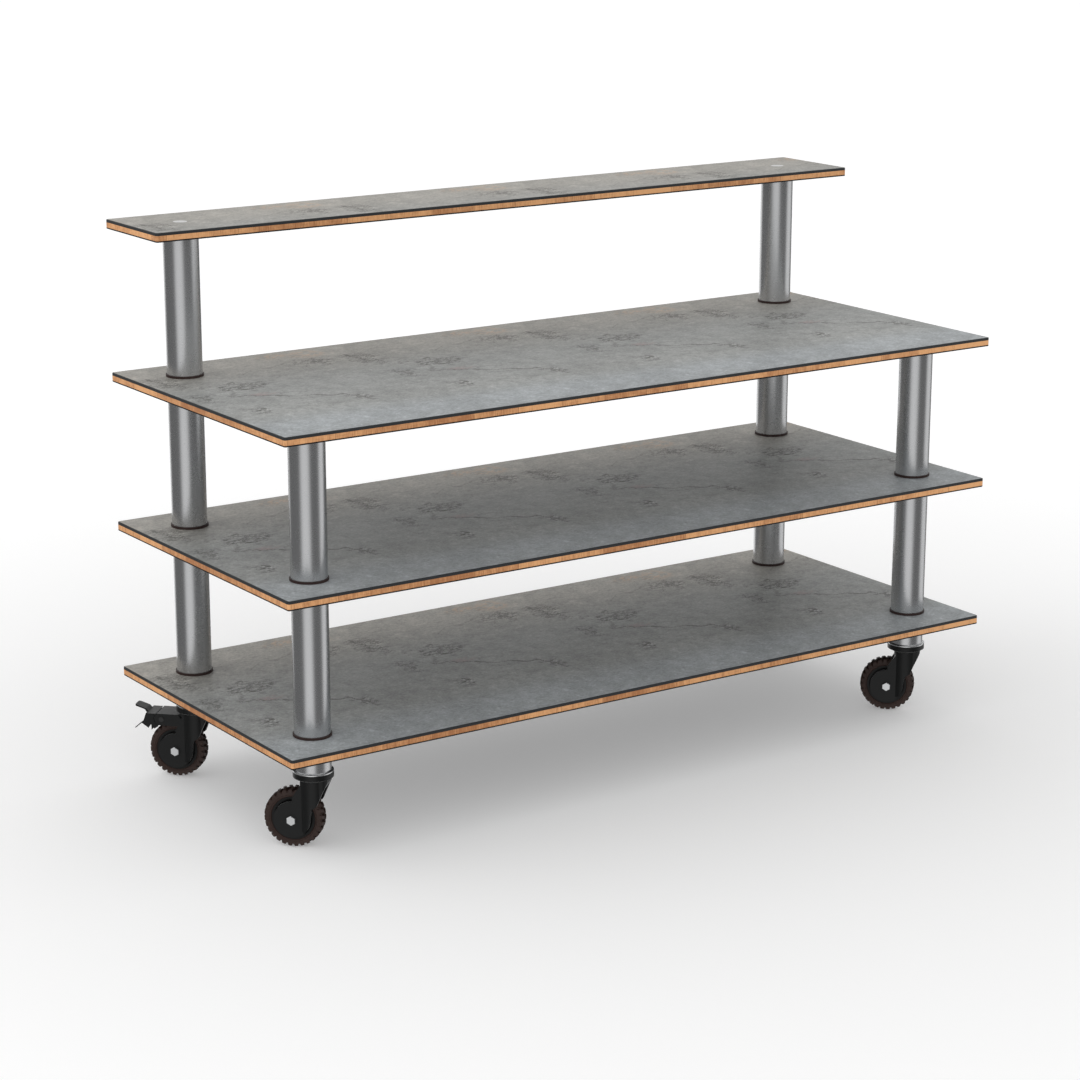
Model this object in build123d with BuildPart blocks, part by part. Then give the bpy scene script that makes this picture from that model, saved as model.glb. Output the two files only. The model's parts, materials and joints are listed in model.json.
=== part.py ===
from build123d import *
from math import cos, radians, sin
import os

# Mobile shelf trolley. Three deep boards and one narrow top shelf are clamped
# between round steel tubes by threaded rods, and four swivel castors carry it,
# the rear two with a brake pedal. Millimetres, +Z up. The origin is on the
# floor under the middle of the boards, the front is towards -Y.

os.makedirs("parts", exist_ok=True)

# --- Boards -------------------------------------------------------------------
board_length = 1450
board_depth = 600
shelf_depth = 188
sheet_thickness = 5
core_thickness = 8.5
backing_thickness = 2.5
board_corner = 4
sheet_arris = 1.5
backing_arris = 1
board_pitch = 261

# --- Posts --------------------------------------------------------------------
post_inset = 91
tube_radius = 30.15
tube_wall = 2
neck_length = 42
ring_rim = 1.85
ring_height = 4
ring_floor = 2
ring_bearing = 6
plug_thickness = 8

# --- Clamping hardware --------------------------------------------------------
rod_radius = 6
insert_thickness = 20
stem_engagement = 10
worktop_insert_radius = 12
cap_head_radius = 12
cap_head_thickness = 2
cap_sleeve_wall = 2

# --- Castors ------------------------------------------------------------------
castor_heading = 135
wheel_radius = 50
wheel_width = 28
tyre_depth = 13.5
tyre_shoulder = 4
trail = 32
leg_thickness = 6
ear_radius = 30.6
column_radius = 27
column_end = 15.5
column_foot_below_axle = 20
collar_drop = 1
knee_ahead = 18.5
knee_above_axle = 45
shin_ahead = 10.5
shin_above_axle = 26
toe_ahead = 1.5
toe_above_axle = 20
heel_behind = 31
heel_above_axle = 38
nape_behind = 16.8
nape_above_axle = 60
web_limit = 31
crown_radius = 21
crown_thickness = 8.5
cone_height = 7
flange_rim = 3.65
flange_height = 7.9
race_plate_thickness = 3.3
race_plate_round = 1.2
ball_radius = 2
ball_circle = 21
ball_count = 20
kingpin_head_radius = 10
kingpin_head_thickness = 4.2
axle_radius = 5
axle_head_flats = 14.5
axle_head_thickness = 6
axle_tail = 1.5
hub_rim = 4
hub_rim_inset = 1
hub_web = 9
hub_boss_radius = 12
hex_chamfer = 0.8

# --- Brake pedals -------------------------------------------------------------
# The pivot's place is from the axle and the tyre, and the rest is from the pivot.
brake_travel = 10
pivot_behind_axle = 24
pivot_above_tyre = 6
pivot_radius = 2.5
pivot_head_radius = 4.5
pivot_head = 1
housing_above_pivot = 10
housing_below_pivot = 11
housing_skin = 3
housing_wall = 3.5
housing_notch = 8
notch_behind = 20.5
notch_reach = 5.5
seam_radius = 13.2
slit = 1
pedal_drop = 0.5
pedal_skin = 2.5
pedal_wall = 2.8
pedal_inset = 0.25
pedal_ear_radius = 5.5
pedal_ear_thickness = 3.2
pedal_web = 3
pedal_web_height = 18.5
pedal_web_behind = 14.5
shoe_width = 24
shoe_start = 10.5
shoe_end = 22
shoe_below_pivot = 5
lip_width = 23
lip_round = 4.5
trip_width = 2.5
# outlines as (behind the pivot, above or below the pedal's top)
pedal_side = [
    (6, 0), (28, 0), (32.5, -13), (36, -18), (24, -26.5),
    (20, -20.5), (17, -20.5), (13, -27.5), (6, -22.5),
]
lip_side = [
    (26, 0), (30.9, 5.3), (50.5, 11.7), (51.3, 9.4),
    (33.3, 3.5), (29, -2.5), (26, -2.5),
]
trip_side = [(32, -15), (35, -15), (48.5, -27), (47.5, -28)]

# --- Clearances ---------------------------------------------------------------
rod_clearance = 0.5
plug_bore_gap = 0.2
tube_fit_gap = 0.05
thread_gap = 0.05
rod_end_gap = 1
running_gap = 0.05
bond_gap = 0.02
race_gap = 0.3
groove_gap = 0.1
wheel_side_gap = 2.5
boss_side_gap = 0.3
wheel_top_gap = 6
pin_head_gap = 0.3
ear_side_gap = 0.4
shoe_gap = 0.4

# --- Derived places -----------------------------------------------------------
board_thickness = sheet_thickness + core_thickness + backing_thickness
tube_inner = tube_radius - tube_wall
ring_radius = tube_radius + ring_rim
tube_length = board_pitch - board_thickness - ring_floor

axle_height = wheel_radius
flange_radius = tube_radius + flange_rim
tyre_inner = wheel_radius - tyre_depth
leg_inner = wheel_width / 2 + wheel_side_gap
leg_outer = leg_inner + leg_thickness
crown_bottom = 2 * wheel_radius + wheel_top_gap
cone_bottom = crown_bottom + crown_thickness
cone_top = cone_bottom + cone_height
fork_top = cone_top + flange_height
race_plate_bottom = fork_top + race_gap
castor_height = race_plate_bottom + race_plate_thickness
ball_height = fork_top + race_gap / 2
rod_bottom = castor_height + stem_engagement

first_top = castor_height + neck_length + board_thickness
board_tops = [first_top + level * board_pitch for level in range(4)]
post_x = board_length / 2 - post_inset
post_y = (board_depth - shelf_depth) / 2
posts = {
    "front_left": (-post_x, -post_y),
    "front_right": (post_x, -post_y),
    "rear_left": (-post_x, post_y),
    "rear_right": (post_x, post_y),
}
front_posts = [posts["front_left"], posts["front_right"]]
rear_posts = [posts["rear_left"], posts["rear_right"]]
all_posts = list(posts.values())


def write(part, name):
    """Label a finished piece and write it under its node's name."""
    part.label = name
    export_step(part, f"parts/{name}.step")


# --- Boards -------------------------------------------------------------------
def slab(name, bottom, thickness, depth, centre_y, holes):
    """One layer of a board. Holes are (posts, radius, depth below its top)."""
    with BuildPart() as layer:
        with BuildSketch(Plane.XY.offset(bottom)):
            with Locations((0, centre_y)):
                RectangleRounded(board_length, depth, board_corner)
        extrude(amount=thickness)
        if name.endswith("sheet"):
            fillet(layer.faces().sort_by(Axis.Z)[-1].edges(), sheet_arris)
        if name.endswith("backing"):
            fillet(layer.faces().sort_by(Axis.Z)[0].edges(), backing_arris)
        for places, radius, hole_depth in holes:
            with BuildSketch(Plane.XY.offset(bottom + thickness)):
                with Locations(*places):
                    Circle(radius)
            extrude(amount=-hole_depth, mode=Mode.SUBTRACT)
    write(layer.part, name)


def board(name, top, depth, centre_y, sheet_holes, lower_holes):
    """Stone-look sheet, plywood core and dark backing, bonded face to face."""
    core_bottom = top - sheet_thickness - core_thickness
    sheet = [(places, radius, hole or sheet_thickness) for places, radius, hole in sheet_holes]
    core = [(places, radius, core_thickness) for places, radius in lower_holes]
    backing = [(places, radius, backing_thickness) for places, radius in lower_holes]
    slab(f"{name}_sheet", top - sheet_thickness, sheet_thickness, depth, centre_y, sheet)
    slab(f"{name}_core", core_bottom, core_thickness, depth, centre_y, core)
    slab(f"{name}_backing", top - board_thickness, backing_thickness, depth, centre_y, backing)


rod_hole = rod_radius + rod_clearance
insert_hole = worktop_insert_radius + tube_fit_gap
cap_sleeve_radius = rod_radius + cap_sleeve_wall
cap_sleeve_hole = cap_sleeve_radius + rod_clearance
cap_head_hole = cap_head_radius + tube_fit_gap

for name, top in (("bottom_board", board_tops[0]), ("middle_board", board_tops[1])):
    board(name, top, board_depth, 0, [(all_posts, rod_hole, None)], [(all_posts, rod_hole)])
board(
    "worktop", board_tops[2], board_depth, 0,
    [(rear_posts, rod_hole, None)],
    [(rear_posts, rod_hole), (front_posts, insert_hole)],
)
board(
    "top_shelf", board_tops[3], shelf_depth, post_y,
    [(rear_posts, cap_sleeve_hole, None), (rear_posts, cap_head_hole, cap_head_thickness)],
    [(rear_posts, cap_sleeve_hole)],
)


# --- Posts --------------------------------------------------------------------
def tube(name, post, bottom, length):
    """One straight length of steel tube."""
    with BuildPart() as pipe:
        with BuildSketch(Plane.XY.offset(bottom)):
            with Locations(post):
                Circle(tube_radius)
                Circle(tube_inner, mode=Mode.SUBTRACT)
        extrude(amount=length)
    write(pipe.part, name)


for corner, post in posts.items():
    tube(f"neck_tube_{corner}", post, castor_height, neck_length)
    tube(f"lower_tube_{corner}", post, board_tops[0] + ring_floor, tube_length)
    tube(f"middle_tube_{corner}", post, board_tops[1] + ring_floor, tube_length)
for corner in ("rear_left", "rear_right"):
    tube(f"upper_tube_{corner}", posts[corner], board_tops[2] + ring_floor, tube_length)

ring_places = [
    (x, y, top)
    for top, places in ((board_tops[0], all_posts), (board_tops[1], all_posts), (board_tops[2], rear_posts))
    for x, y in places
]

with BuildPart() as seat_ring:
    with BuildSketch():
        Circle(ring_radius)
        Circle(tube_inner - ring_bearing, mode=Mode.SUBTRACT)
    extrude(amount=ring_height)
    with BuildSketch(Plane.XY.offset(ring_floor)):
        Circle(tube_radius + tube_fit_gap)
    extrude(amount=ring_height - ring_floor, mode=Mode.SUBTRACT)

with BuildPart() as seat_rings:
    with Locations(*ring_places):
        add(seat_ring.part)
write(seat_rings.part, "seat_rings")

# A plug closes each end of a tube, but the foot of a neck holds a threaded insert.
neck_tops = [(x, y, castor_height + neck_length - plug_thickness) for x, y in all_posts]
tube_feet = [(x, y, top + ring_floor) for x, y, top in ring_places]
tube_heads = [(x, y, bottom + tube_length - plug_thickness) for x, y, bottom in tube_feet]

with BuildPart() as tube_plugs:
    with Locations(*neck_tops, *tube_feet, *tube_heads):
        Cylinder(tube_inner - tube_fit_gap, plug_thickness, align=(Align.CENTER, Align.CENTER, Align.MIN))
        Cylinder(
            rod_radius + plug_bore_gap, plug_thickness,
            align=(Align.CENTER, Align.CENTER, Align.MIN), mode=Mode.SUBTRACT,
        )
write(tube_plugs.part, "tube_plugs")

with BuildPart() as neck_inserts:
    with BuildSketch(Plane.XY.offset(castor_height)):
        with Locations(*all_posts):
            Circle(tube_inner - tube_fit_gap)
            Circle(rod_radius + thread_gap, mode=Mode.SUBTRACT)
    extrude(amount=insert_thickness)
write(neck_inserts.part, "neck_inserts")

# --- Clamping hardware --------------------------------------------------------
worktop_bottom = board_tops[2] - board_thickness
insert_height = board_thickness - sheet_thickness
front_rod_length = worktop_bottom + insert_height - rod_end_gap - rod_bottom
rear_rod_length = board_tops[3] - cap_head_thickness - rod_end_gap - rod_bottom

with BuildPart() as tie_rods:
    for places, length in ((front_posts, front_rod_length), (rear_posts, rear_rod_length)):
        with BuildSketch(Plane.XY.offset(rod_bottom)):
            with Locations(*places):
                Circle(rod_radius)
        extrude(amount=length)
write(tie_rods.part, "tie_rods")

with BuildPart() as worktop_inserts:
    with BuildSketch(Plane.XY.offset(worktop_bottom)):
        with Locations(*front_posts):
            Circle(worktop_insert_radius)
            Circle(rod_radius + thread_gap, mode=Mode.SUBTRACT)
    extrude(amount=insert_height)
write(worktop_inserts.part, "worktop_inserts")

with BuildPart() as cap_nuts:
    with BuildSketch(Plane.XY.offset(board_tops[3])):
        with Locations(*rear_posts):
            Circle(cap_head_radius)
    extrude(amount=-cap_head_thickness)
    with BuildSketch(Plane.XY.offset(board_tops[3] - cap_head_thickness)):
        with Locations(*rear_posts):
            Circle(cap_sleeve_radius)
            Circle(rod_radius + thread_gap, mode=Mode.SUBTRACT)
    extrude(amount=cap_head_thickness - board_thickness)
write(cap_nuts.part, "cap_nuts")

# --- Castors ------------------------------------------------------------------
# Each castor is drawn about its own swivel axis: +X trails behind the swivel,
# +Y is the side that the axle bolt's head is on, and Z starts at the floor.
axle_point = (trail, axle_height)
axle_line = Axis((trail, 0, axle_height), (0, 1, 0))
castor_places = {corner: Location((x, y, 0), (0, 0, castor_heading)) for corner, (x, y) in posts.items()}


def write_placed(part, name, corner):
    """Set one copy of a castor's piece under its post and write it."""
    with BuildPart() as piece:
        with Locations(castor_places[corner]):
            add(part)
    write(piece.part, f"{name}_{corner}")


def ball_groove():
    """Cut the ball race, half in the plate and half in the fork's head."""
    with Locations((0, 0, ball_height)):
        Torus(ball_circle, ball_radius + groove_gap, mode=Mode.SUBTRACT)


with BuildPart() as race_plate:
    with BuildSketch(Plane.XY.offset(race_plate_bottom)):
        Circle(flange_radius)
    extrude(amount=race_plate_thickness)
    fillet(race_plate.edges(), race_plate_round)
    with BuildSketch(Plane.XY.offset(race_plate_bottom)):
        Circle(rod_radius + running_gap)
    extrude(amount=race_plate_thickness, mode=Mode.SUBTRACT)
    ball_groove()

with BuildPart() as race_plates:
    with Locations(*all_posts):
        add(race_plate.part)
write(race_plates.part, "race_plates")

with BuildPart() as swivel_balls:
    for x, y in all_posts:
        with Locations((x, y, ball_height)):
            with PolarLocations(ball_circle, ball_count):
                Sphere(ball_radius)
write(swivel_balls.part, "swivel_balls")

kingpin_recess = kingpin_head_thickness + 2 * pin_head_gap
kingpin_head_top = crown_bottom + kingpin_recess - pin_head_gap

with BuildPart() as kingpins:
    with BuildSketch(Plane.XY.offset(kingpin_head_top)):
        with Locations(*all_posts):
            Circle(kingpin_head_radius)
    extrude(amount=-kingpin_head_thickness)
    with BuildSketch(Plane.XY.offset(kingpin_head_top)):
        with Locations(*all_posts):
            Circle(rod_radius)
    extrude(amount=rod_bottom - kingpin_head_top)
write(kingpins.part, "kingpins")

# side outline of a fork leg: a raked strut that ends in a round ear
with BuildSketch(Plane.XZ) as leg_outline:
    with BuildLine():
        Polyline(
            (-column_radius, cone_top),
            (-column_radius, cone_bottom - collar_drop),
            (-knee_ahead, axle_height + knee_above_axle),
            (-shin_ahead, axle_height + shin_above_axle),
            (-toe_ahead, axle_height + toe_above_axle),
            (trail - ear_radius, axle_height),
            (heel_behind, axle_height),
            (heel_behind, axle_height + heel_above_axle),
            (nape_behind, axle_height + nape_above_axle),
            (nape_behind, cone_top),
            close=True,
        )
    make_face()
    with Locations(axle_point):
        Circle(ear_radius)

# cover over the wheel, up to an arc about the pedal's pivot
pivot_behind = trail + pivot_behind_axle
pivot_height = 2 * wheel_radius + pivot_above_tyre
pivot = (pivot_behind, pivot_height)
housing_top = pivot_height + housing_above_pivot
housing_floor = pivot_height - housing_below_pivot
housing_inner = leg_outer - housing_wall

with BuildSketch(Plane.XZ) as housing_outline:
    with Locations((0, housing_floor)):
        Rectangle(pivot_behind, housing_top - housing_floor, align=(Align.MIN, Align.MIN))
    with Locations(pivot):
        Circle(seam_radius)
    with Locations((pivot_behind, housing_top)):
        Rectangle(2 * seam_radius, seam_radius, align=(Align.CENTER, Align.MIN), mode=Mode.SUBTRACT)
    with Locations((pivot_behind, housing_floor)):
        Rectangle(2 * seam_radius, seam_radius, align=(Align.CENTER, Align.MAX), mode=Mode.SUBTRACT)

# a notch parts the cover's top from the column
with BuildSketch(Plane.XZ) as notch_outline:
    with BuildLine():
        Polyline(
            (notch_behind - notch_reach, housing_top + 1),
            (notch_behind + notch_reach, housing_top + 1),
            (notch_behind, housing_top - housing_notch),
            close=True,
        )
    make_face()

# flat webs of the two legs, rounded off ahead of the swivel axis
with BuildPart() as leg_webs:
    extrude(leg_outline.sketch, amount=leg_outer, both=True)
    with BuildSketch():
        Circle(web_limit)
        Rectangle(
            trail + ear_radius, 2 * leg_outer,
            align=(Align.MIN, Align.CENTER),
        )
    extrude(amount=cone_top, mode=Mode.INTERSECT)


def make_fork(braked):
    """Moulded fork: crown, two legs with a rounded column each, and ears."""
    with BuildPart() as fork:
        # rounded column down the front of each leg
        extrude(leg_outline.sketch, amount=column_radius, both=True)
        with BuildSketch():
            Circle(column_radius)
            with Locations((column_end, 0)):
                Rectangle(
                    2 * column_radius, 2 * column_radius,
                    align=(Align.MIN, Align.CENTER), mode=Mode.SUBTRACT,
                )
        extrude(amount=cone_top, mode=Mode.INTERSECT)
        with BuildSketch():
            Circle(2 * column_radius)
        extrude(amount=axle_height - column_foot_below_axle, mode=Mode.SUBTRACT)
        # flat webs with their round ears
        add(leg_webs.part)
        if braked:
            extrude(housing_outline.sketch, amount=leg_outer, both=True)
            with Locations((heel_behind, 0, housing_top - housing_skin)):
                Box(
                    2 * pivot_behind, 2 * housing_inner, housing_top - housing_floor,
                    align=(Align.MIN, Align.CENTER, Align.MAX), mode=Mode.SUBTRACT,
                )
            for side in (-1, 1):
                extrude(
                    notch_outline.sketch.moved(Location((0, side * leg_outer, 0))),
                    amount=housing_wall, both=True, mode=Mode.SUBTRACT,
                )
        with BuildSketch(Plane.XZ):
            with Locations((0, crown_bottom)):
                Rectangle(4 * wheel_radius, crown_bottom, align=(Align.CENTER, Align.MAX))
        extrude(amount=leg_inner, both=True, mode=Mode.SUBTRACT)
        with BuildSketch(Plane.XZ):
            with BuildLine():
                Polyline(
                    (0, crown_bottom),
                    (crown_radius, crown_bottom),
                    (crown_radius, cone_bottom),
                    (flange_radius, cone_top),
                    (flange_radius, fork_top),
                    (0, fork_top),
                    close=True,
                )
            make_face()
        revolve(axis=Axis.Z)
        with BuildSketch(Plane.XY.offset(crown_bottom)):
            Circle(kingpin_head_radius + pin_head_gap)
        extrude(amount=kingpin_recess, mode=Mode.SUBTRACT)
        with BuildSketch(Plane.XY.offset(crown_bottom)):
            Circle(rod_radius + running_gap)
        extrude(amount=fork_top - crown_bottom, mode=Mode.SUBTRACT)
        ball_groove()
        with BuildSketch(Plane.XZ):
            with Locations(axle_point):
                Circle(axle_radius + running_gap)
            if braked:
                with Locations(pivot):
                    Circle(pivot_radius + running_gap)
        extrude(amount=leg_outer, both=True, mode=Mode.SUBTRACT)
    return fork.part


# wheel
with BuildPart() as hub:
    with BuildSketch(Plane.XY.offset(axle_height)):
        with Locations((trail, 0)):
            for inner, outer, width in (
                (axle_radius + running_gap, hub_boss_radius, 2 * (leg_inner - boss_side_gap)),
                (hub_boss_radius, tyre_inner - bond_gap - hub_rim, hub_web),
                (
                    tyre_inner - bond_gap - hub_rim,
                    tyre_inner - bond_gap,
                    wheel_width - 2 * hub_rim_inset,
                ),
            ):
                with Locations((inner, 0)):
                    Rectangle(outer - inner, width, align=(Align.MIN, Align.CENTER))
    revolve(axis=axle_line)

with BuildPart() as tyre:
    with BuildSketch(Plane.XY.offset(axle_height)) as section:
        with Locations((trail + tyre_inner, 0)):
            Rectangle(tyre_depth, wheel_width, align=(Align.MIN, Align.CENTER))
        fillet(section.vertices().group_by(Axis.X)[-1], tyre_shoulder)
    revolve(axis=axle_line)

# axle bolt and nut
head_plane = Plane(origin=(trail, leg_outer, axle_height), x_dir=(0, 0, 1), z_dir=(0, 1, 0))
nut_plane = Plane(origin=(trail, -leg_outer, axle_height), x_dir=(0, 0, 1), z_dir=(0, -1, 0))

with BuildPart() as axle_bolt:
    with BuildSketch(head_plane):
        RegularPolygon(axle_head_flats / 2, 6, major_radius=False)
    extrude(amount=axle_head_thickness)
    chamfer(axle_bolt.faces().sort_by(Axis.Y)[-1].edges(), hex_chamfer)
    with BuildSketch(head_plane):
        Circle(axle_radius)
    extrude(amount=-(2 * leg_outer + axle_head_thickness + axle_tail))

with BuildPart() as axle_nut:
    with BuildSketch(nut_plane):
        RegularPolygon(axle_head_flats / 2, 6, major_radius=False)
    extrude(amount=axle_head_thickness)
    chamfer(axle_nut.faces().sort_by(Axis.Y)[0].edges(), hex_chamfer)
    with BuildSketch(nut_plane):
        Circle(axle_radius + thread_gap)
    extrude(amount=axle_head_thickness, mode=Mode.SUBTRACT)

# --- Brake pedal --------------------------------------------------------------
pedal_top = housing_top - pedal_drop
pedal_outer = leg_outer - pedal_inset
ear_out = housing_inner - ear_side_gap
web_start = pivot_behind + pedal_web_behind

# When the pedal is down, the shoe's curve runs round the axle just off the tyre.
# Up at rest, that curve is turned back about the pivot by the pedal's travel.
turn = radians(brake_travel)
along, below = trail - pivot_behind, axle_height - pivot_height
shoe_centre = (
    pivot_behind + along * cos(turn) - below * sin(turn),
    pivot_height + along * sin(turn) + below * cos(turn),
)


def from_pivot(outline):
    """Outline points measured from the pivot and the pedal's top."""
    return [(pivot_behind + behind, pedal_top + rise) for behind, rise in outline]


# side walls and the hollow between them, both clear of the seam's arc
with BuildSketch(Plane.XZ) as wall_outline:
    with BuildLine():
        Polyline(*from_pivot(pedal_side), close=True)
    make_face()
    with Locations(pivot):
        Circle(seam_radius + slit, mode=Mode.SUBTRACT)

with BuildPart() as pedal:
    extrude(wall_outline.sketch, amount=pedal_outer, both=True)
    with Locations((pivot_behind, 0, pedal_top - pedal_skin)):
        Box(
            4 * wheel_radius, 2 * (pedal_outer - pedal_wall), pedal_top,
            align=(Align.MIN, Align.CENTER, Align.MAX), mode=Mode.SUBTRACT,
        )
    # cross web that ties the walls, the ears and the shoe together
    with BuildSketch(Plane.XZ):
        with Locations((web_start, pedal_top)):
            Rectangle(pedal_web, pedal_web_height, align=(Align.MIN, Align.MAX))
    extrude(amount=pedal_outer, both=True)
    # ears that reach in to the pivot
    for side in (-1, 1):
        with BuildSketch(Plane.XZ.offset(side * (ear_out - pedal_ear_thickness / 2))):
            with Locations(pivot):
                Circle(pedal_ear_radius)
                Rectangle(
                    pedal_web_behind + pedal_web, 2 * pedal_ear_radius,
                    align=(Align.MIN, Align.CENTER),
                )
        extrude(amount=pedal_ear_thickness / 2, both=True)
    # shoe
    with BuildSketch(Plane.XZ):
        with Locations((pivot_behind + shoe_start, pivot_height - shoe_below_pivot)):
            Rectangle(shoe_end - shoe_start, wheel_radius, align=(Align.MIN, Align.MAX))
        with Locations(shoe_centre):
            Circle(wheel_radius + shoe_gap, mode=Mode.SUBTRACT)
            Rectangle(
                4 * wheel_radius, 2 * wheel_radius,
                align=(Align.CENTER, Align.MAX), mode=Mode.SUBTRACT,
            )
    extrude(amount=shoe_width / 2, both=True)
    # turned-up lip, with its two outer corners rounded
    with BuildSketch(Plane.XZ):
        with BuildLine():
            Polyline(*from_pivot(lip_side), close=True)
        make_face()
    extrude(amount=lip_width / 2, both=True)
    lip_tip = pedal.faces().sort_by(Axis.X)[-1]
    fillet(lip_tip.edges().filter_by(Axis.Y, reverse=True), lip_round)
    # slender trip lever on the bolt-head side
    with BuildSketch(Plane.XZ.offset(-pedal_outer)):
        with BuildLine():
            Polyline(*from_pivot(trip_side), close=True)
        make_face()
    extrude(amount=trip_width)
    with BuildSketch(Plane.XZ):
        with Locations(pivot):
            Circle(pivot_radius + running_gap)
    extrude(amount=pedal_outer, both=True, mode=Mode.SUBTRACT)

pin_plane = Plane(origin=(pivot[0], 0, pivot[1]), x_dir=(1, 0, 0), z_dir=(0, -1, 0))

with BuildPart() as pivot_pin:
    with BuildSketch(pin_plane):
        Circle(pivot_radius)
    extrude(amount=leg_outer + pivot_head, both=True)
    for side in (-1, 1):
        with BuildSketch(pin_plane.offset(side * leg_outer)):
            Circle(pivot_head_radius)
        extrude(amount=side * pivot_head)

plain_fork = make_fork(braked=False)
braked_fork = make_fork(braked=True)
for corner in posts:
    braked = corner.startswith("rear")
    write_placed(braked_fork if braked else plain_fork, "fork", corner)
    write_placed(hub.part, "wheel_hub", corner)
    write_placed(tyre.part, "tyre", corner)
    write_placed(axle_bolt.part, "axle_bolt", corner)
    write_placed(axle_nut.part, "axle_nut", corner)
    if braked:
        write_placed(pedal.part, "brake_pedal", corner)
        write_placed(pivot_pin.part, "pedal_pin", corner)
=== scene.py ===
"""Looks of a mobile shelf trolley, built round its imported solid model."""
import json
import logging
import math
from dataclasses import dataclass, field
from enum import Enum
from typing import Iterable, Sequence, Union

import bmesh
import bpy
from mathutils import Matrix, Vector


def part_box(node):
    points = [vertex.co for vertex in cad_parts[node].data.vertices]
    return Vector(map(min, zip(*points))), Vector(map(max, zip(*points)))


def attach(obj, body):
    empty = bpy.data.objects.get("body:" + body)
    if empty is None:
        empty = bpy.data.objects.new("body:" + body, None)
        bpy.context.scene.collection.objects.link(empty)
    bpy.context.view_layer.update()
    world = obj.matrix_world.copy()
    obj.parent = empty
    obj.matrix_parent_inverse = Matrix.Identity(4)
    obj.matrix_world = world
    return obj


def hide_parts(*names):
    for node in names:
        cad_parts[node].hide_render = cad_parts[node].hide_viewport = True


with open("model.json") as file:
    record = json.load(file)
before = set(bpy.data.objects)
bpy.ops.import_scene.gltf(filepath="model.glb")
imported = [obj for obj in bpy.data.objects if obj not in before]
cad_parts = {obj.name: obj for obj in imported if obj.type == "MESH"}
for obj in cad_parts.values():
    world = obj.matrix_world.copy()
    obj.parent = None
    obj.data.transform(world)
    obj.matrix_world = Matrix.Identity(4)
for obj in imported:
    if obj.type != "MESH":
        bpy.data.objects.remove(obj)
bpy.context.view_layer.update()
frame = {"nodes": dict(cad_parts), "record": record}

LOG = logging.getLogger("trolley")
CORNERS = ("front_left", "front_right", "rear_left", "rear_right")

Colour = tuple[float, float, float]
Point = tuple[float, float, float]
Spots = tuple[tuple[float, float, float, float], ...]
Socket = bpy.types.NodeSocket
Value = Union[float, int, Socket]


# --- Node wiring --------------------------------------------------------------
class Wiring:
    """A node tree, wired from plain calls."""

    def __init__(self, tree: bpy.types.NodeTree) -> None:
        """Start with an empty tree.

        Args:
            tree: The node tree.
        """
        self.nodes = tree.nodes
        self.links = tree.links
        self.nodes.clear()

    def feed(self, socket: Socket, value: Union[Value, Sequence[float]]) -> None:
        """Link a socket into an input, or set the input to a plain value.

        Args:
            socket: The input.
            value: What goes in.
        """
        if isinstance(value, bpy.types.NodeSocket):
            self.links.new(value, socket)
        else:
            socket.default_value = value

    def maths(self, operation: str, first: Value, second: Value = 0.0, third: Value = 0.0) -> Socket:
        """One step of arithmetic.

        Args:
            operation: The Math node's operation.
            first: First operand.
            second: Second operand.
            third: Third operand.

        Returns:
            The result's socket.
        """
        node = self.nodes.new("ShaderNodeMath")
        node.operation = operation
        for socket, value in zip(node.inputs, (first, second, third)):
            self.feed(socket, value)
        return node.outputs[0]

    def add(self, first: Value, second: Value) -> Socket:
        """Sum of two values."""
        return self.maths("ADD", first, second)

    def times(self, first: Value, second: Value) -> Socket:
        """Product of two values."""
        return self.maths("MULTIPLY", first, second)

    def split(self, where: Socket) -> tuple[Socket, Socket, Socket]:
        """The three parts of a vector."""
        node = self.nodes.new("ShaderNodeSeparateXYZ")
        self.feed(node.inputs[0], where)
        return node.outputs[0], node.outputs[1], node.outputs[2]

    def join(self, x: Value, y: Value, z: Value) -> Socket:
        """A vector from three parts."""
        node = self.nodes.new("ShaderNodeCombineXYZ")
        for socket, value in zip(node.inputs, (x, y, z)):
            self.feed(socket, value)
        return node.outputs[0]

    def fade(self, value: Value, low: float, high: float, start: float = 0.0, end: float = 1.0) -> Socket:
        """A smooth change from start to end while the value goes from low to high.

        Args:
            value: What is looked at.
            low: Where the change begins.
            high: Where it ends.
            start: Result before it.
            end: Result after it.

        Returns:
            The result's socket.
        """
        node = self.nodes.new("ShaderNodeMapRange")
        node.interpolation_type = "SMOOTHSTEP"
        for socket, given in zip(node.inputs, (value, low, high, start, end)):
            self.feed(socket, given)
        return node.outputs[0]


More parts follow.
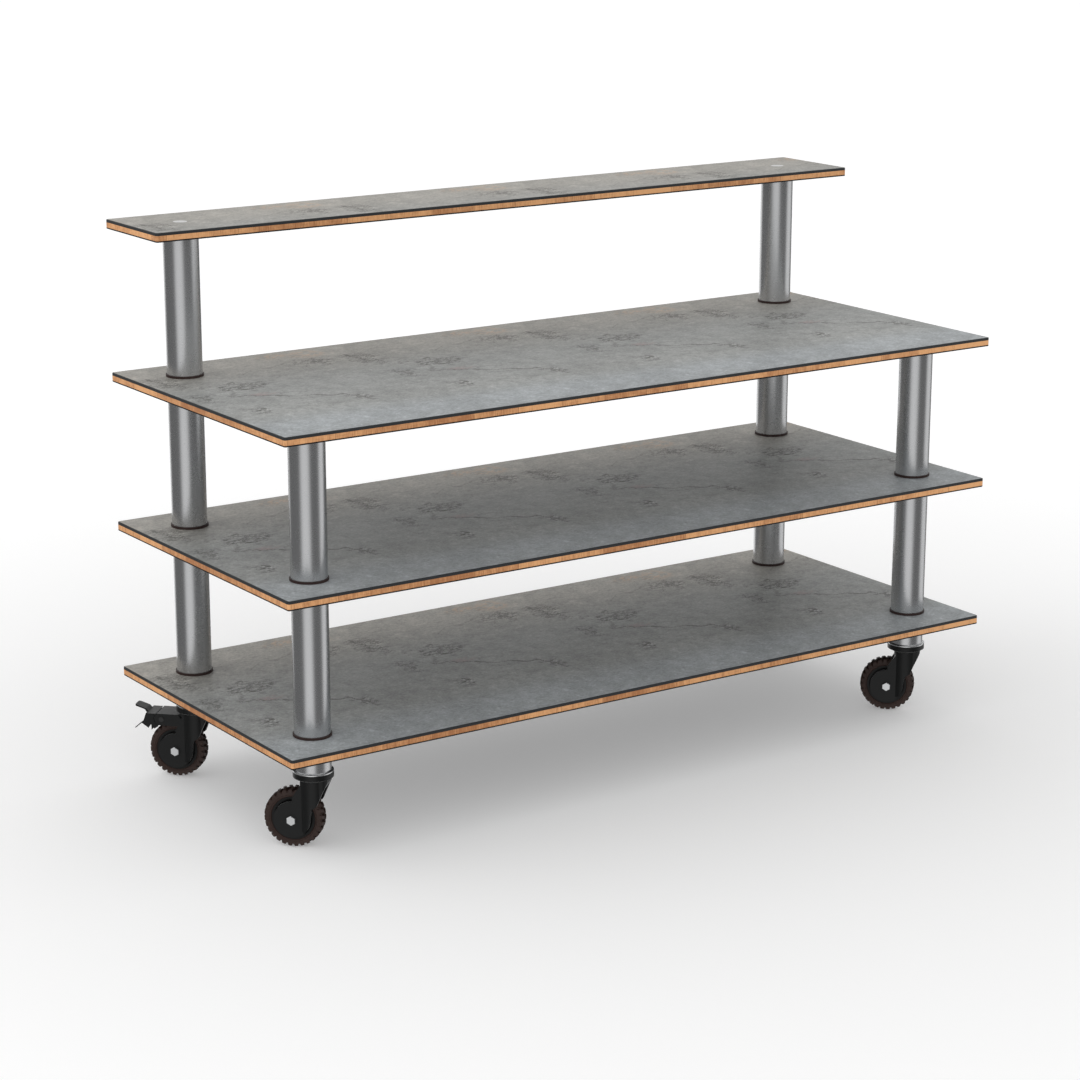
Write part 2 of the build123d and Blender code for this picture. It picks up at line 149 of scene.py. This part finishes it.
class Graph(Wiring):
    """The node tree of one finish."""

    def __init__(self, name: str) -> None:
        """Start a material with one Principled shader.

        Args:
            name: The material's name.
        """
        self.material = bpy.data.materials.new(name)
        self.material.use_nodes = True
        super().__init__(self.material.node_tree)
        self.shader = self.nodes.new("ShaderNodeBsdfPrincipled")
        output = self.nodes.new("ShaderNodeOutputMaterial")
        self.links.new(self.shader.outputs["BSDF"], output.inputs["Surface"])
        self.place = self.nodes.new("ShaderNodeTexCoord").outputs["Object"]

    def stretch(self, where: Socket, factors: Point) -> Socket:
        """A place with each of its parts multiplied by a factor of its own."""
        node = self.nodes.new("ShaderNodeVectorMath")
        node.operation = "MULTIPLY"
        self.feed(node.inputs[0], where)
        node.inputs[1].default_value = factors
        return node.outputs[0]

    def noise(
        self, where: Socket, scale: float, detail: float = 3.0, rough: float = 0.55, warp: float = 0.0,
    ) -> Socket:
        """Fractal noise.

        Args:
            where: Place it is looked up at, in metres.
            scale: Features per metre.
            detail: Octaves.
            rough: Weight of the finer octaves.
            warp: Distortion.

        Returns:
            The noise's value, round 0.5.
        """
        node = self.nodes.new("ShaderNodeTexNoise")
        node.noise_dimensions = "3D"
        self.feed(node.inputs["Vector"], where)
        node.inputs["Scale"].default_value = scale
        node.inputs["Detail"].default_value = detail
        node.inputs["Roughness"].default_value = rough
        node.inputs["Distortion"].default_value = warp
        return node.outputs[0]

    def blend(self, factor: Value, first: Union[Socket, Colour], second: Union[Socket, Colour]) -> Socket:
        """A colour between two.

        Args:
            factor: Share of the second.
            first: Colour at 0.
            second: Colour at 1.

        Returns:
            The colour's socket.
        """
        node = self.nodes.new("ShaderNodeMix")
        node.data_type = "RGBA"
        self.feed(node.inputs["Factor"], factor)
        for name, colour in (("A", first), ("B", second)):
            socket = [s for s in node.inputs if s.name == name and s.type == "RGBA"][0]
            self.feed(socket, colour if isinstance(colour, bpy.types.NodeSocket) else (*colour, 1.0))
        return [s for s in node.outputs if s.type == "RGBA"][0]

    def bump(self, height: Socket, depth: float, strength: float = 1.0) -> None:
        """Relief on the shader.

        Args:
            height: Height, 0 to 1.
            depth: Metres between 0 and 1.
            strength: Share of the relief that shows.
        """
        node = self.nodes.new("ShaderNodeBump")
        node.inputs["Strength"].default_value = strength
        node.inputs["Distance"].default_value = depth
        self.feed(node.inputs["Height"], height)
        self.links.new(node.outputs[0], self.shader.inputs["Normal"])

    def surface(
        self, colour: Union[Socket, Colour], rough: Value, metal: float = 0.0, gloss: float = 0.5,
    ) -> None:
        """Main sockets of the shader.

        Args:
            colour: Base colour.
            rough: Roughness.
            metal: Metallic share.
            gloss: Specular level.
        """
        given = colour if isinstance(colour, bpy.types.NodeSocket) else (*colour, 1.0)
        self.feed(self.shader.inputs["Base Color"], given)
        self.feed(self.shader.inputs["Roughness"], rough)
        self.shader.inputs["Metallic"].default_value = metal
        self.shader.inputs["Specular IOR Level"].default_value = gloss


# --- Finishes -----------------------------------------------------------------
@dataclass(frozen=True)
class Crack:
    """A wandering crack in the print: its points, half its width and how dark it is."""

    path: tuple[tuple[float, float], ...]
    width: float
    weight: float


@dataclass(frozen=True)
class StoneLaminate:
    """Printed stone-look sheet with a charcoal edge and painted relief shading on its print. The print
    repeats along the board.

    Each spot is its centre along, centre across, half length and half width.
    """

    name: str = "stone_laminate"
    repeat: float = 0.3835
    first_repeat: float = -0.725
    grey: Colour = (0.312, 0.318, 0.308)
    warm: Colour = (0.350, 0.332, 0.298)
    cool: Colour = (0.350, 0.372, 0.383)
    dark: Colour = (0.100, 0.095, 0.086)
    rust: Colour = (0.52, 0.35, 0.22)
    rose: Colour = (0.34, 0.20, 0.19)
    edge: Colour = (0.018, 0.020, 0.022)
    stains: Spots = ((0.343, 0.252, 0.052, 0.040), (0.300, 0.262, 0.05, 0.025))
    bruises: Spots = ((0.128, 0.000, 0.030, 0.012),)
    flaked: Spots = (
        (0.036, 0.165, 0.034, 0.055), (0.122, 0.072, 0.050, 0.042), (0.024, 0.018, 0.020, 0.040),
        (0.063, -0.112, 0.026, 0.026), (0.330, 0.190, 0.050, 0.040), (0.252, -0.105, 0.022, 0.022),
    )
    cracks: tuple[Crack, ...] = (
        Crack(
            ((0.075, 0.010), (0.098, 0.003), (0.118, -0.008), (0.140, -0.020), (0.165, -0.045),
             (0.200, -0.060), (0.236, -0.068), (0.246, -0.090), (0.258, -0.112)), 0.0034, 1.0,
        ),
        Crack(((0.168, 0.166), (0.205, 0.176), (0.245, 0.184), (0.285, 0.196), (0.320, 0.214)), 0.0032, 0.5),
        Crack(((0.100, 0.048), (0.088, 0.026), (0.075, 0.010)), 0.0034, 0.6),
        Crack(((0.050, -0.085), (0.066, -0.108), (0.082, -0.122)), 0.0036, 0.45),
    )
    # painted shade: shift across the board between the print's noise and its copy, whose difference paints
    # each feature lit on one side and shaded on the other
    painted_relief_shade_step: float = 0.0035
    bevel_fade: tuple[float, float] = (0.975, 0.998)

    def build(self) -> bpy.types.Material:
        """Wire the print, its cracks and stains, the painted relief shading, and the edge.

        Returns:
            The material.
        """
        g = Graph(self.name)
        x, y, _ = g.split(g.place)
        along = g.maths("DIVIDE", g.add(x, -self.first_repeat), self.repeat)
        turn = g.times(along, math.tau)
        ring = self.repeat / math.tau
        loop = g.join(g.times(g.maths("COSINE", turn), ring), g.times(g.maths("SINE", turn), ring), y)
        u = g.times(g.maths("FRACT", along), self.repeat)

        cloud = g.noise(loop, 9.0, 4.0, 0.6)
        mottle = g.noise(loop, 38.0, 5.0, 0.68)
        grain = g.noise(loop, 210.0, 4.0, 0.75)
        sway = g.add(g.noise(loop, 30.0, 4.0, 0.6), -0.5)
        jag = g.add(g.noise(loop, 120.0, 3.0, 0.7), -0.5)

        tone = g.blend(g.fade(y, 0.02, 0.25), self.grey, self.warm)
        tone = g.blend(g.fade(y, -0.13, -0.24), tone, self.cool)
        light = g.add(g.times(g.add(cloud, -0.5), 0.62), g.times(g.add(mottle, -0.5), 0.85))
        light = g.add(light, g.times(g.add(grain, -0.5), 1.3))
        pale = g.fade(g.noise(loop, 75.0, 4.0, 0.7), 0.57, 0.66)
        light = g.add(light, g.times(pale, g.fade(y, 0.05, -0.25, 0.07, 0.20)))
        tone = self.lift(g, tone, g.add(light, 1.0))

        stain = self.spots(g, u, y, sway, self.stains)
        speck = g.fade(g.noise(loop, 60.0, 5.0, 0.75), 0.45, 0.56)
        tone = g.blend(g.times(g.times(stain, speck), 0.62), tone, self.rust)
        bruise = self.spots(g, u, y, sway, self.bruises)
        tone = g.blend(g.times(g.times(bruise, speck), 0.45), tone, self.rose)

        flakes = self.spots(g, u, y, sway, self.flaked)
        vein = g.maths("ABSOLUTE", g.add(g.noise(loop, 21.0, 5.0, 0.70, 0.5), -0.5))
        vein = g.fade(vein, 0.004, 0.034, 1.0, 0.0)
        chips = g.fade(g.noise(loop, 62.0, 6.0, 0.74, 0.4), 0.475, 0.425)
        pits = g.fade(g.noise(loop, 105.0, 4.0, 0.75), 0.335, 0.285)
        patch = g.fade(g.noise(loop, 14.0, 3.0, 0.6), 0.48, 0.64)
        marks = g.maths("MAXIMUM", g.times(chips, flakes), g.times(vein, g.times(flakes, 0.8)))
        marks = g.maths("MAXIMUM", marks, g.times(vein, g.add(g.times(patch, 0.26), 0.05)))
        marks = g.maths("MAXIMUM", marks, g.times(pits, g.add(g.times(patch, 0.35), 0.35)))
        broken = g.fade(g.noise(loop, 70.0, 4.0, 0.7), 0.36, 0.50, 0.2, 1.0)
        for crack in self.cracks:
            line = self.crack(g, u, y, sway, jag, crack)
            marks = g.maths("MAXIMUM", marks, g.times(g.times(line, broken), crack.weight))
        # painted relief shading: the print's tone is raised on one side of each noise feature and lowered on
        # the other, from the noise minus the same noise shifted across the board, stronger in the flaked
        # spots
        steps = (0.0, 0.0, self.painted_relief_shade_step)
        shifted = g.join(*(g.add(part, step) for part, step in zip(g.split(loop), steps)))
        painted_relief_shade = g.add(g.noise(loop, 60.0, 4.0, 0.7), g.times(g.noise(shifted, 60.0, 4.0, 0.7), -1.0))
        depth = g.add(g.times(flakes, 1.2), 0.30)
        tone = self.lift(g, tone, g.add(g.times(g.times(painted_relief_shade, 3.0), depth), 1.0))
        tone = g.blend(g.times(flakes, 0.08), tone, self.dark)
        tone = g.blend(g.times(marks, 0.70), tone, self.dark)

        normal = g.nodes.new("ShaderNodeNewGeometry").outputs["Normal"]
        flat = g.fade(g.split(normal)[2], *self.bevel_fade)
        tone = g.blend(flat, self.edge, tone)
        rough = g.add(g.times(mottle, 0.16), g.add(g.times(marks, 0.12), 0.40))
        g.surface(tone, rough, gloss=0.42)
        height = g.add(g.times(grain, 0.35), g.add(g.times(mottle, 0.5), g.times(marks, -0.9)))
        g.bump(height, 0.00035, 0.55)
        return g.material

    @staticmethod
    def lift(g: Graph, colour: Socket, factor: Socket) -> Socket:
        """A colour made lighter or darker by a factor."""
        node = g.nodes.new("ShaderNodeVectorMath")
        node.operation = "SCALE"
        g.feed(node.inputs[0], colour)
        g.feed(node.inputs["Scale"], factor)
        return node.outputs[0]

    def wrapped(self, g: Graph, u: Socket, centre: float) -> Socket:
        """Distance along the board from a mark, round the repeat."""
        return g.maths("WRAP", g.add(u, -centre), self.repeat / 2, -self.repeat / 2)

    def spots(self, g: Graph, u: Socket, y: Socket, sway: Socket, places: Spots) -> Socket:
        """Soft-edged ovals.

        Args:
            g: The node tree.
            u: Distance along one repeat.
            y: Distance across the board.
            sway: Noise that breaks the ovals' outlines.
            places: Centre along, centre across, half length and half width of each.

        Returns:
            1 inside the ovals and 0 outside.
        """
        total: Value = 0.0
        for centre, across, long, wide in places:
            a = g.maths("DIVIDE", self.wrapped(g, u, centre), long)
            b = g.maths("DIVIDE", g.add(y, -across), wide)
            gap = g.maths("SQRT", g.add(g.times(a, a), g.times(b, b)))
            gap = g.add(gap, g.times(sway, 2.6))
            total = g.maths("MAXIMUM", total, g.fade(gap, 0.35, 1.25, 1.0, 0.0))
        return total

    def crack(self, g: Graph, u: Socket, y: Socket, sway: Socket, jag: Socket, crack: Crack) -> Socket:
        """One wandering crack.

        Args:
            g: The node tree.
            u: Distance along one repeat.
            y: Distance across the board.
            sway: Noise that makes it wander.
            jag: Finer noise that makes it ragged.
            crack: The points that it goes through, and half its width.

        Returns:
            1 on the crack and 0 away from it.
        """
        path = crack.path
        centre = sum(p[0] for p in path) / len(path)
        a = g.add(self.wrapped(g, u, centre), g.add(g.times(sway, 0.05), g.times(jag, 0.02)))
        b = g.add(y, g.add(g.times(sway, -0.06), g.times(jag, 0.026)))
        total: Value = 1.0
        for (x0, y0), (x1, y1) in zip(path, path[1:]):
            x0, x1 = x0 - centre, x1 - centre
            run, rise = x1 - x0, y1 - y0
            square = run * run + rise * rise
            px, py = g.add(a, -x0), g.add(b, -y0)
            share = g.add(g.times(px, run / square), g.times(py, rise / square))
            share = g.maths("MINIMUM", g.maths("MAXIMUM", share, 0.0), 1.0)
            dx = g.add(px, g.times(share, -run))
            dy = g.add(py, g.times(share, -rise))
            gap = g.maths("SQRT", g.add(g.times(dx, dx), g.times(dy, dy)))
            total = g.maths("MINIMUM", total, gap)
        return g.fade(total, 0.25 * crack.width, 1.4 * crack.width, 1.0, 0.0)


@dataclass(frozen=True)
class PlyEdge:
    """Oiled ply, cut across, with upright grain and faint joints in the strip."""

    name: str = "ply_edge"
    pale: Colour = (0.70, 0.36, 0.155)
    deep: Colour = (0.36, 0.145, 0.052)
    joint: Colour = (0.20, 0.075, 0.028)
    joint_every: float = 0.085

    def build(self) -> bpy.types.Material:
        """Wire the grain and the joints.

        Returns:
            The material.
        """
        g = Graph(self.name)
        x, y, z = g.split(g.place)
        along = g.add(x, y)
        strip = g.maths("DIVIDE", along, self.joint_every)
        block = g.noise(g.join(g.maths("FLOOR", strip), 3.1, 7.7), 0.37, 0.0)
        fibre = g.noise(g.join(along, 0.0, g.times(z, 0.12)), 520.0, 3.0, 0.6)
        broad = g.noise(g.join(along, 0.0, g.times(z, 0.3)), 60.0, 2.0, 0.5)
        streak = g.noise(g.join(g.times(along, 0.05), 0.0, z), 900.0, 2.0, 0.5)
        amount = g.add(g.times(fibre, 0.75), g.add(g.times(broad, 0.45), g.times(g.add(streak, -0.5), 0.35)))
        amount = g.add(amount, g.times(g.add(block, -0.5), 0.9))
        tone = g.blend(g.fade(amount, 0.36, 0.86), self.pale, self.deep)
        near = g.maths("ABSOLUTE", g.add(g.maths("FRACT", strip), -0.5))
        seam = g.fade(near, 0.492, 0.498)
        tone = g.blend(g.times(seam, 0.6), tone, self.joint)
        g.surface(tone, g.add(g.times(fibre, 0.2), 0.45), gloss=0.4)
        g.bump(g.add(fibre, g.times(seam, -0.8)), 0.00012, 0.6)
        return g.material


@dataclass(frozen=True)
class Moulded:
    """Matt plastic or rubber with a fine moulded grain and a little scuffing."""

    name: str
    colour: Colour
    scuff: Colour
    rough: float = 0.5
    gloss: float = 0.5
    grain: float = 1800.0
    relief: float = 0.00005
    sheen: float = 0.0

    def build(self) -> bpy.types.Material:
        """Wire the grain, the tone and the scuffs.

        Returns:
            The material.
        """
        g = Graph(self.name)
        fine = g.noise(g.place, self.grain, 3.0, 0.6)
        cloud = g.noise(g.place, 35.0, 3.0, 0.6)
        worn = g.fade(g.noise(g.place, 140.0, 4.0, 0.75), 0.58, 0.76)
        factor = g.add(g.times(worn, 0.35), g.times(g.fade(cloud, 0.45, 0.75), 0.25))
        g.surface(
            g.blend(factor, self.colour, self.scuff),
            g.add(g.times(g.add(cloud, -0.5), 0.22), g.add(g.times(worn, 0.08), self.rough)),
            gloss=self.gloss,
        )
        g.shader.inputs["Sheen Weight"].default_value = self.sheen
        g.shader.inputs["Sheen Roughness"].default_value = 0.35
        g.bump(fine, self.relief, 0.6)
        return g.material


class Brushing(Enum):
    """How a metal was finished."""

    ROUND = "round the tube"
    UP = "along the tube"
    NONE = "plated"


@dataclass(frozen=True)
class Steel:
    """Bright metal, brushed or plated."""

    name: str
    colour: Colour
    rough: float
    brushing: Brushing = Brushing.NONE
    relief: float = 0.000001

    def build(self) -> bpy.types.Material:
        """Wire the brush lines, the smudges and a cloudy change in roughness.

        Returns:
            The material.
        """
        g = Graph(self.name)
        stretch = {
            Brushing.ROUND: (0.12, 0.12, 1.0),
            Brushing.UP: (1.0, 1.0, 0.02),
            Brushing.NONE: (1.0, 1.0, 1.0),
        }[self.brushing]
        lines = g.noise(g.stretch(g.place, stretch), 1500.0, 3.0, 0.6)
        cloud = g.noise(g.place, 22.0, 3.0, 0.6)
        smudge = g.fade(g.noise(g.place, 70.0, 4.0, 0.7), 0.52, 0.72)
        dull = tuple(0.86 * c for c in self.colour)
        tone = g.blend(g.add(g.times(lines, 0.22), g.times(smudge, 0.08)), self.colour, dull)
        rough = g.add(g.times(g.add(cloud, -0.5), 0.02), g.add(g.times(smudge, 0.01), self.rough))
        g.surface(tone, g.add(rough, g.times(g.add(lines, -0.5), 0.02)), metal=1.0)
        g.bump(lines, self.relief, 0.25)
        return g.material


FINISHES = {
    "board_sheet": StoneLaminate(),
    "board_core": PlyEdge(),
    "board_backing": Moulded("backing_film", (0.009, 0.009, 0.010), (0.020, 0.020, 0.021), 0.7, 0.2, 900.0),
    "tube_steel": Steel("brushed_tube", (0.63, 0.635, 0.645), 0.27, Brushing.ROUND),
    "ring_rubber": Moulded("ring_rubber", (0.030, 0.014, 0.012), (0.06, 0.035, 0.03), 0.55, 0.35),
    "plug_plastic": Moulded("plug_plastic", (0.04, 0.04, 0.04), (0.06, 0.06, 0.06)),
    "cap_steel": Steel("turned_cap", (0.72, 0.72, 0.71), 0.35, Brushing.NONE),
    "zinc_steel": Steel("bright_zinc", (0.72, 0.73, 0.74), 0.26, Brushing.NONE, 0.000005),
    "pin_steel": Moulded("black_pin", (0.012, 0.012, 0.012), (0.05, 0.05, 0.05), 0.4, 0.5),
    "castor_plastic": Moulded(
        "castor_plastic", (0.0058, 0.0062, 0.0062), (0.0105, 0.011, 0.011), 0.38, 0.28,
        relief=0.00002, sheen=0.16,
    ),
    "hub_plastic": Moulded("hub_plastic", (0.0060, 0.0062, 0.0060), (0.0105, 0.011, 0.011), 0.46, 0.28),
    "tyre_rubber": Moulded("tyre_rubber", (0.034, 0.0175, 0.0135), (0.064, 0.037, 0.029), 0.55, 0.35, 1300.0),
}


# --- Sub-assemblies -----------------------------------------------------------
class Palette:
    """Each finish's material, made once."""

    def __init__(self) -> None:
        """Start with no material made."""
        self.made: dict[str, bpy.types.Material] = {}

    def get(self, slot: str) -> bpy.types.Material:
        """The material of a slot of the record."""
        if slot not in self.made:
            self.made[slot] = FINISHES[slot].build()
        return self.made[slot]


@dataclass
class SolidParts:
    """The solid model's own pieces, which keep their shape and get their finish."""

    palette: Palette

    def dress(self, names: Iterable[str]) -> None:
        """Give each named piece the material of its slot.

        Args:
            names: Names of solid nodes.
        """
        slots = {row["node"]: row["material_slot"] for row in frame["record"]["subparts"]}
        for name in names:
            piece = frame["nodes"][name]
            for place in piece.material_slots:
                place.material = self.palette.get(slots[name])
            LOG.info("dressed %s with %s", name, slots[name])


@dataclass
class Tyre:
    """A rubber tyre with a smooth side and two staggered rows of slanted lugs."""

    corner: str
    palette: Palette
    radius: float = 0.050
    width: float = 0.028
    seat: float = 0.0365
    carcass: float = 0.0462
    side_ring: float = 0.0438
    lugs: int = 28
    lug_share: float = 0.82
    slant: float = 0.10
    lug_taper: float = 0.58
    steps: int = 112
    groove: float = 0.0034
    groove_width: float = 0.0018
    groove_depth: float = 0.0006
    groove_flank: float = 0.0006
    soft_edge: float = 0.00035
    soft_from: float = 32.0
    tilt: Matrix = field(init=False)

    def __post_init__(self) -> None:
        """Find the wheel's middle and the frame it is drawn in."""
        low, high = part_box(f"tyre_{self.corner}")
        centre = (low + high) / 2
        axle = Vector((-math.sqrt(0.5), -math.sqrt(0.5), 0.0))
        up = Vector((0.0, 0.0, 1.0))
        side = up.cross(axle)
        self.tilt = Matrix.Translation(centre) @ Matrix((
            (side.x, axle.x, up.x, 0.0),
            (side.y, axle.y, up.y, 0.0),
            (side.z, axle.z, up.z, 0.0),
            (0.0, 0.0, 0.0, 1.0),
        ))

    def spot(self, angle: float, radius: float, across: float) -> Vector:
        """A place on the wheel.

        Args:
            angle: Angle round the axle.
            radius: Distance from the axle.
            across: Distance from the wheel's middle plane.

        Returns:
            The place in the row frame.
        """
        return self.tilt @ Vector((radius * math.cos(angle), across, radius * math.sin(angle)))

    def body(self, mesh: bmesh.types.BMesh) -> None:
        """The carcass, turned from its section.

        Args:
            mesh: Where it is added.
        """
        half = self.width / 2
        outer = self.side_ring - self.groove
        section = [
            (self.seat, -half + 0.0010), (self.seat + 0.0012, -half),
            (outer - self.groove_width - self.groove_flank, -half),
            (outer - self.groove_width, -half + self.groove_depth),
            (outer - self.groove_flank, -half + self.groove_depth),
            (outer, -half), (self.side_ring - 0.0008, -half + 0.0003),
            (self.side_ring + 0.0006, -half + 0.0014), (self.carcass, -half + 0.0036), (self.carcass, 0.0),
        ]
        section += [(r, -a) for r, a in reversed(section[:-1])]
        rings = []
        for step in range(self.steps):
            angle = math.tau * step / self.steps
            rings.append([mesh.verts.new(self.spot(angle, r, a)) for r, a in section])
        for first, second in zip(rings, rings[1:] + rings[:1]):
            for i in range(len(section)):
                j = (i + 1) % len(section)
                mesh.faces.new((first[i], first[j], second[j], second[i]))

    def lug(self, mesh: bmesh.types.BMesh, angle: float, hand: int) -> None:
        """One slanted lug, from the tread's middle out over the shoulder.

        Args:
            mesh: Where it is added.
            angle: Angle of its middle.
            hand: Side of the wheel, -1 or 1.
        """
        half = self.width / 2
        pitch = math.tau / self.lugs
        spread = pitch * self.lug_share / 2
        rows = (
            (0.0006, self.radius - 0.0001, 0.0),
            (half - 0.0050, self.radius - 0.0001, 0.62),
            (half - 0.0016, self.radius - 0.0013, 0.90),
            (half - 0.0004, self.radius - 0.0042, 1.0),
        )
        tops, feet = [], []
        for across, top, lean in rows:
            middle = angle + self.slant * lean
            root = self.carcass - 0.0008 if across < half - 0.001 else self.side_ring - 0.0006
            foot = min(top - 0.0004, root)
            for row, half_angle, radius in ((tops, spread * self.lug_taper, top), (feet, spread, foot)):
                row.append([
                    mesh.verts.new(self.spot(middle + k * half_angle, radius, hand * across)) for k in (-1, 1)
                ])
        faces = []
        for i in range(len(rows) - 1):
            faces.append((tops[i][0], tops[i][1], tops[i + 1][1], tops[i + 1][0]))
            faces.append((feet[i][0], feet[i + 1][0], feet[i + 1][1], feet[i][1]))
            for k in (0, 1):
                faces.append((tops[i][k], tops[i + 1][k], feet[i + 1][k], feet[i][k]))
        faces.append((tops[0][0], feet[0][0], feet[0][1], tops[0][1]))
        faces.append((tops[-1][0], tops[-1][1], feet[-1][1], feet[-1][0]))
        for corners in faces:
            mesh.faces.new(corners)

    def build(self) -> bpy.types.Object:
        """Make the tyre, set it on its wheel and give it its finish.

        Returns:
            The piece.
        """
        mesh = bmesh.new()
        self.body(mesh)
        pitch = math.tau / self.lugs
        for count in range(self.lugs):
            self.lug(mesh, count * pitch, 1)
            self.lug(mesh, (count + 0.5) * pitch, -1)
        bmesh.ops.recalc_face_normals(mesh, faces=mesh.faces)
        data = bpy.data.meshes.new(f"lugged_tyre_{self.corner}")
        mesh.to_mesh(data)
        mesh.free()
        piece = bpy.data.objects.new(data.name, data)
        bpy.context.scene.collection.objects.link(piece)
        edges = piece.modifiers.new("soft_edges", "BEVEL")
        edges.width = self.soft_edge
        edges.segments = 2
        edges.limit_method = "ANGLE"
        edges.angle_limit = math.radians(self.soft_from)
        for polygon in data.polygons:
            polygon.use_smooth = True
        edges.harden_normals = True
        data.materials.append(self.palette.get("tyre_rubber"))
        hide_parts(f"tyre_{self.corner}")
        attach(piece, f"wheel_{self.corner}")
        LOG.info("built %s", piece.name)
        return piece


# --- Studio -------------------------------------------------------------------
@dataclass(frozen=True)
class Softbox:
    """A square soft light: where it stands and points, its side and its power."""

    name: str
    place: Point
    aim: Point
    side: float
    watts: float


@dataclass
class Studio:
    """Pale floor with a painted soft shadow round the trolley, soft lights and the camera. A card is its
    bearing, its edge's cosine and its strength.
    """

    camera_place: Point = (-2.7782, -4.0285, 1.6839)
    camera_turn: Point = (74.9, 0.0, -33.97)
    lens: float = 94.87
    shift: tuple[float, float] = (0.0060, 0.0066)
    floor_half: float = 60.0
    # painted shadow: the floor's colour close to the trolley, darker than far off
    floor_near_painted_shadow: Colour = (0.80, 0.80, 0.80)
    floor_far: Colour = (0.96, 0.96, 0.96)
    floor_glow: float = 0.21
    horizon: float = 1.62
    zenith: float = 0.80
    bright_side: float = 145.0
    lean: float = 0.28
    wall: float = 0.20
    cards: tuple[Point, ...] = ((226.0, 0.78, 0.78), (341.0, 0.82, 0.78), (76.0, 0.78, 1.1))
    card_core: float = 0.992
    ceiling: float = 0.95
    softboxes: tuple[Softbox, ...] = (
        Softbox("key", (-3.2, 1.2, 4.2), (0.0, 0.0, 0.3), 3.2, 22.0),
        Softbox("fill", (-1.5, -5.0, 2.6), (0.0, 0.0, 0.4), 3.0, 10.0),
    )
    ceiling_band: tuple[float, float] = (0.02, 0.24)

    def camera(self) -> None:
        """Set the camera."""
        data = bpy.data.cameras.new("view")
        data.lens = self.lens
        data.shift_x, data.shift_y = self.shift
        data.clip_end = 300.0
        spot = bpy.data.objects.new("view", data)
        spot.location = self.camera_place
        spot.rotation_euler = [math.radians(a) for a in self.camera_turn]
        bpy.context.scene.collection.objects.link(spot)
        bpy.context.scene.camera = spot

    def floor(self) -> None:
        """Lay the pale floor, painted darker near the trolley as its wide soft shadow."""
        graph = Graph("pale_floor_painted_shadow")
        haze = graph.noise(graph.place, 3.0, 2.0)
        x, y, _ = graph.split(graph.place)
        away = graph.maths("SQRT", graph.add(graph.times(x, x), graph.times(y, y)))
        # painted shadow: the floor is darker near the trolley's middle and reaches the far colour by 3.2 m,
        # standing in for the trolley's wide soft shadow
        tone = graph.blend(graph.fade(away, 0.6, 3.2), self.floor_near_painted_shadow, self.floor_far)
        graph.surface(tone, graph.add(graph.times(haze, 0.1), 0.85), gloss=0.0)
        graph.shader.inputs["Emission Color"].default_value = (1.0, 1.0, 1.0, 1.0)
        graph.shader.inputs["Emission Strength"].default_value = self.floor_glow
        mesh = bmesh.new()
        bmesh.ops.create_grid(mesh, x_segments=4, y_segments=4, size=self.floor_half)
        data = bpy.data.meshes.new("studio_floor")
        mesh.to_mesh(data)
        mesh.free()
        data.materials.append(graph.material)
        piece = bpy.data.objects.new("studio_floor", data)
        piece.visible_glossy = False
        bpy.context.scene.collection.objects.link(piece)

    def softbox(self, box: Softbox) -> None:
        """Set one square soft light.

        Args:
            box: The light.
        """
        data = bpy.data.lights.new(box.name, "AREA")
        data.size = box.side
        data.energy = box.watts
        lamp = bpy.data.objects.new(box.name, data)
        lamp.location = box.place
        lamp.rotation_euler = (Vector(box.aim) - Vector(box.place)).to_track_quat("-Z", "Y").to_euler()
        lamp.visible_glossy = False
        bpy.context.scene.collection.objects.link(lamp)

    def room(self) -> None:
        """Wire the room: even light, and bright cards on a darker wall for what shines."""
        world = bpy.data.worlds.new("room")
        bpy.context.scene.world = world
        world.use_nodes = True
        g = Wiring(world.node_tree)
        x, y, z = g.split(g.nodes.new("ShaderNodeTexCoord").outputs["Generated"])
        bearing = g.maths("ARCTAN2", y, x)
        wall: Value = self.wall
        for azimuth, edge, bright in self.cards:
            turned = g.maths("COSINE", g.maths("SUBTRACT", bearing, math.radians(azimuth)))
            wall = g.add(wall, g.fade(turned, edge, self.card_core, 0.0, bright))
        up = g.fade(z, *self.ceiling_band)
        shine = g.add(g.times(wall, g.maths("SUBTRACT", 1.0, up)), g.times(up, self.ceiling))
        height = g.maths("MAXIMUM", z, 0.0)
        even = g.maths("MULTIPLY_ADD", height, self.zenith - self.horizon, self.horizon)
        lean = g.maths("COSINE", g.maths("SUBTRACT", bearing, math.radians(self.bright_side)))
        low = g.maths("SUBTRACT", 1.0, height)
        even = g.times(even, g.maths("MULTIPLY_ADD", g.times(lean, low), self.lean, 1.0))
        glossy = g.nodes.new("ShaderNodeLightPath").outputs["Is Glossy Ray"]
        strength = g.add(g.times(shine, glossy), g.times(g.maths("SUBTRACT", 1.0, glossy), even))
        light = g.nodes.new("ShaderNodeBackground")
        g.feed(light.inputs["Strength"], strength)
        g.links.new(light.outputs[0], g.nodes.new("ShaderNodeOutputWorld").inputs[0])

    def build(self) -> None:
        """Set everything that isn't the trolley."""
        bpy.context.scene.view_settings.view_transform = "Standard"
        self.camera()
        self.floor()
        self.room()
        for box in self.softboxes:
            self.softbox(box)
        LOG.info("set the studio")


def main() -> None:
    """Build the trolley's pieces in order."""
    logging.basicConfig(level=logging.INFO, format="%(name)s: %(message)s")
    palette = Palette()
    Studio().build()
    tyres = {f"tyre_{corner}" for corner in CORNERS}
    SolidParts(palette).dress(name for name in frame["nodes"] if name not in tyres)
    for corner in CORNERS:
        Tyre(corner, palette).build()


if __name__ == "__main__":
    main()
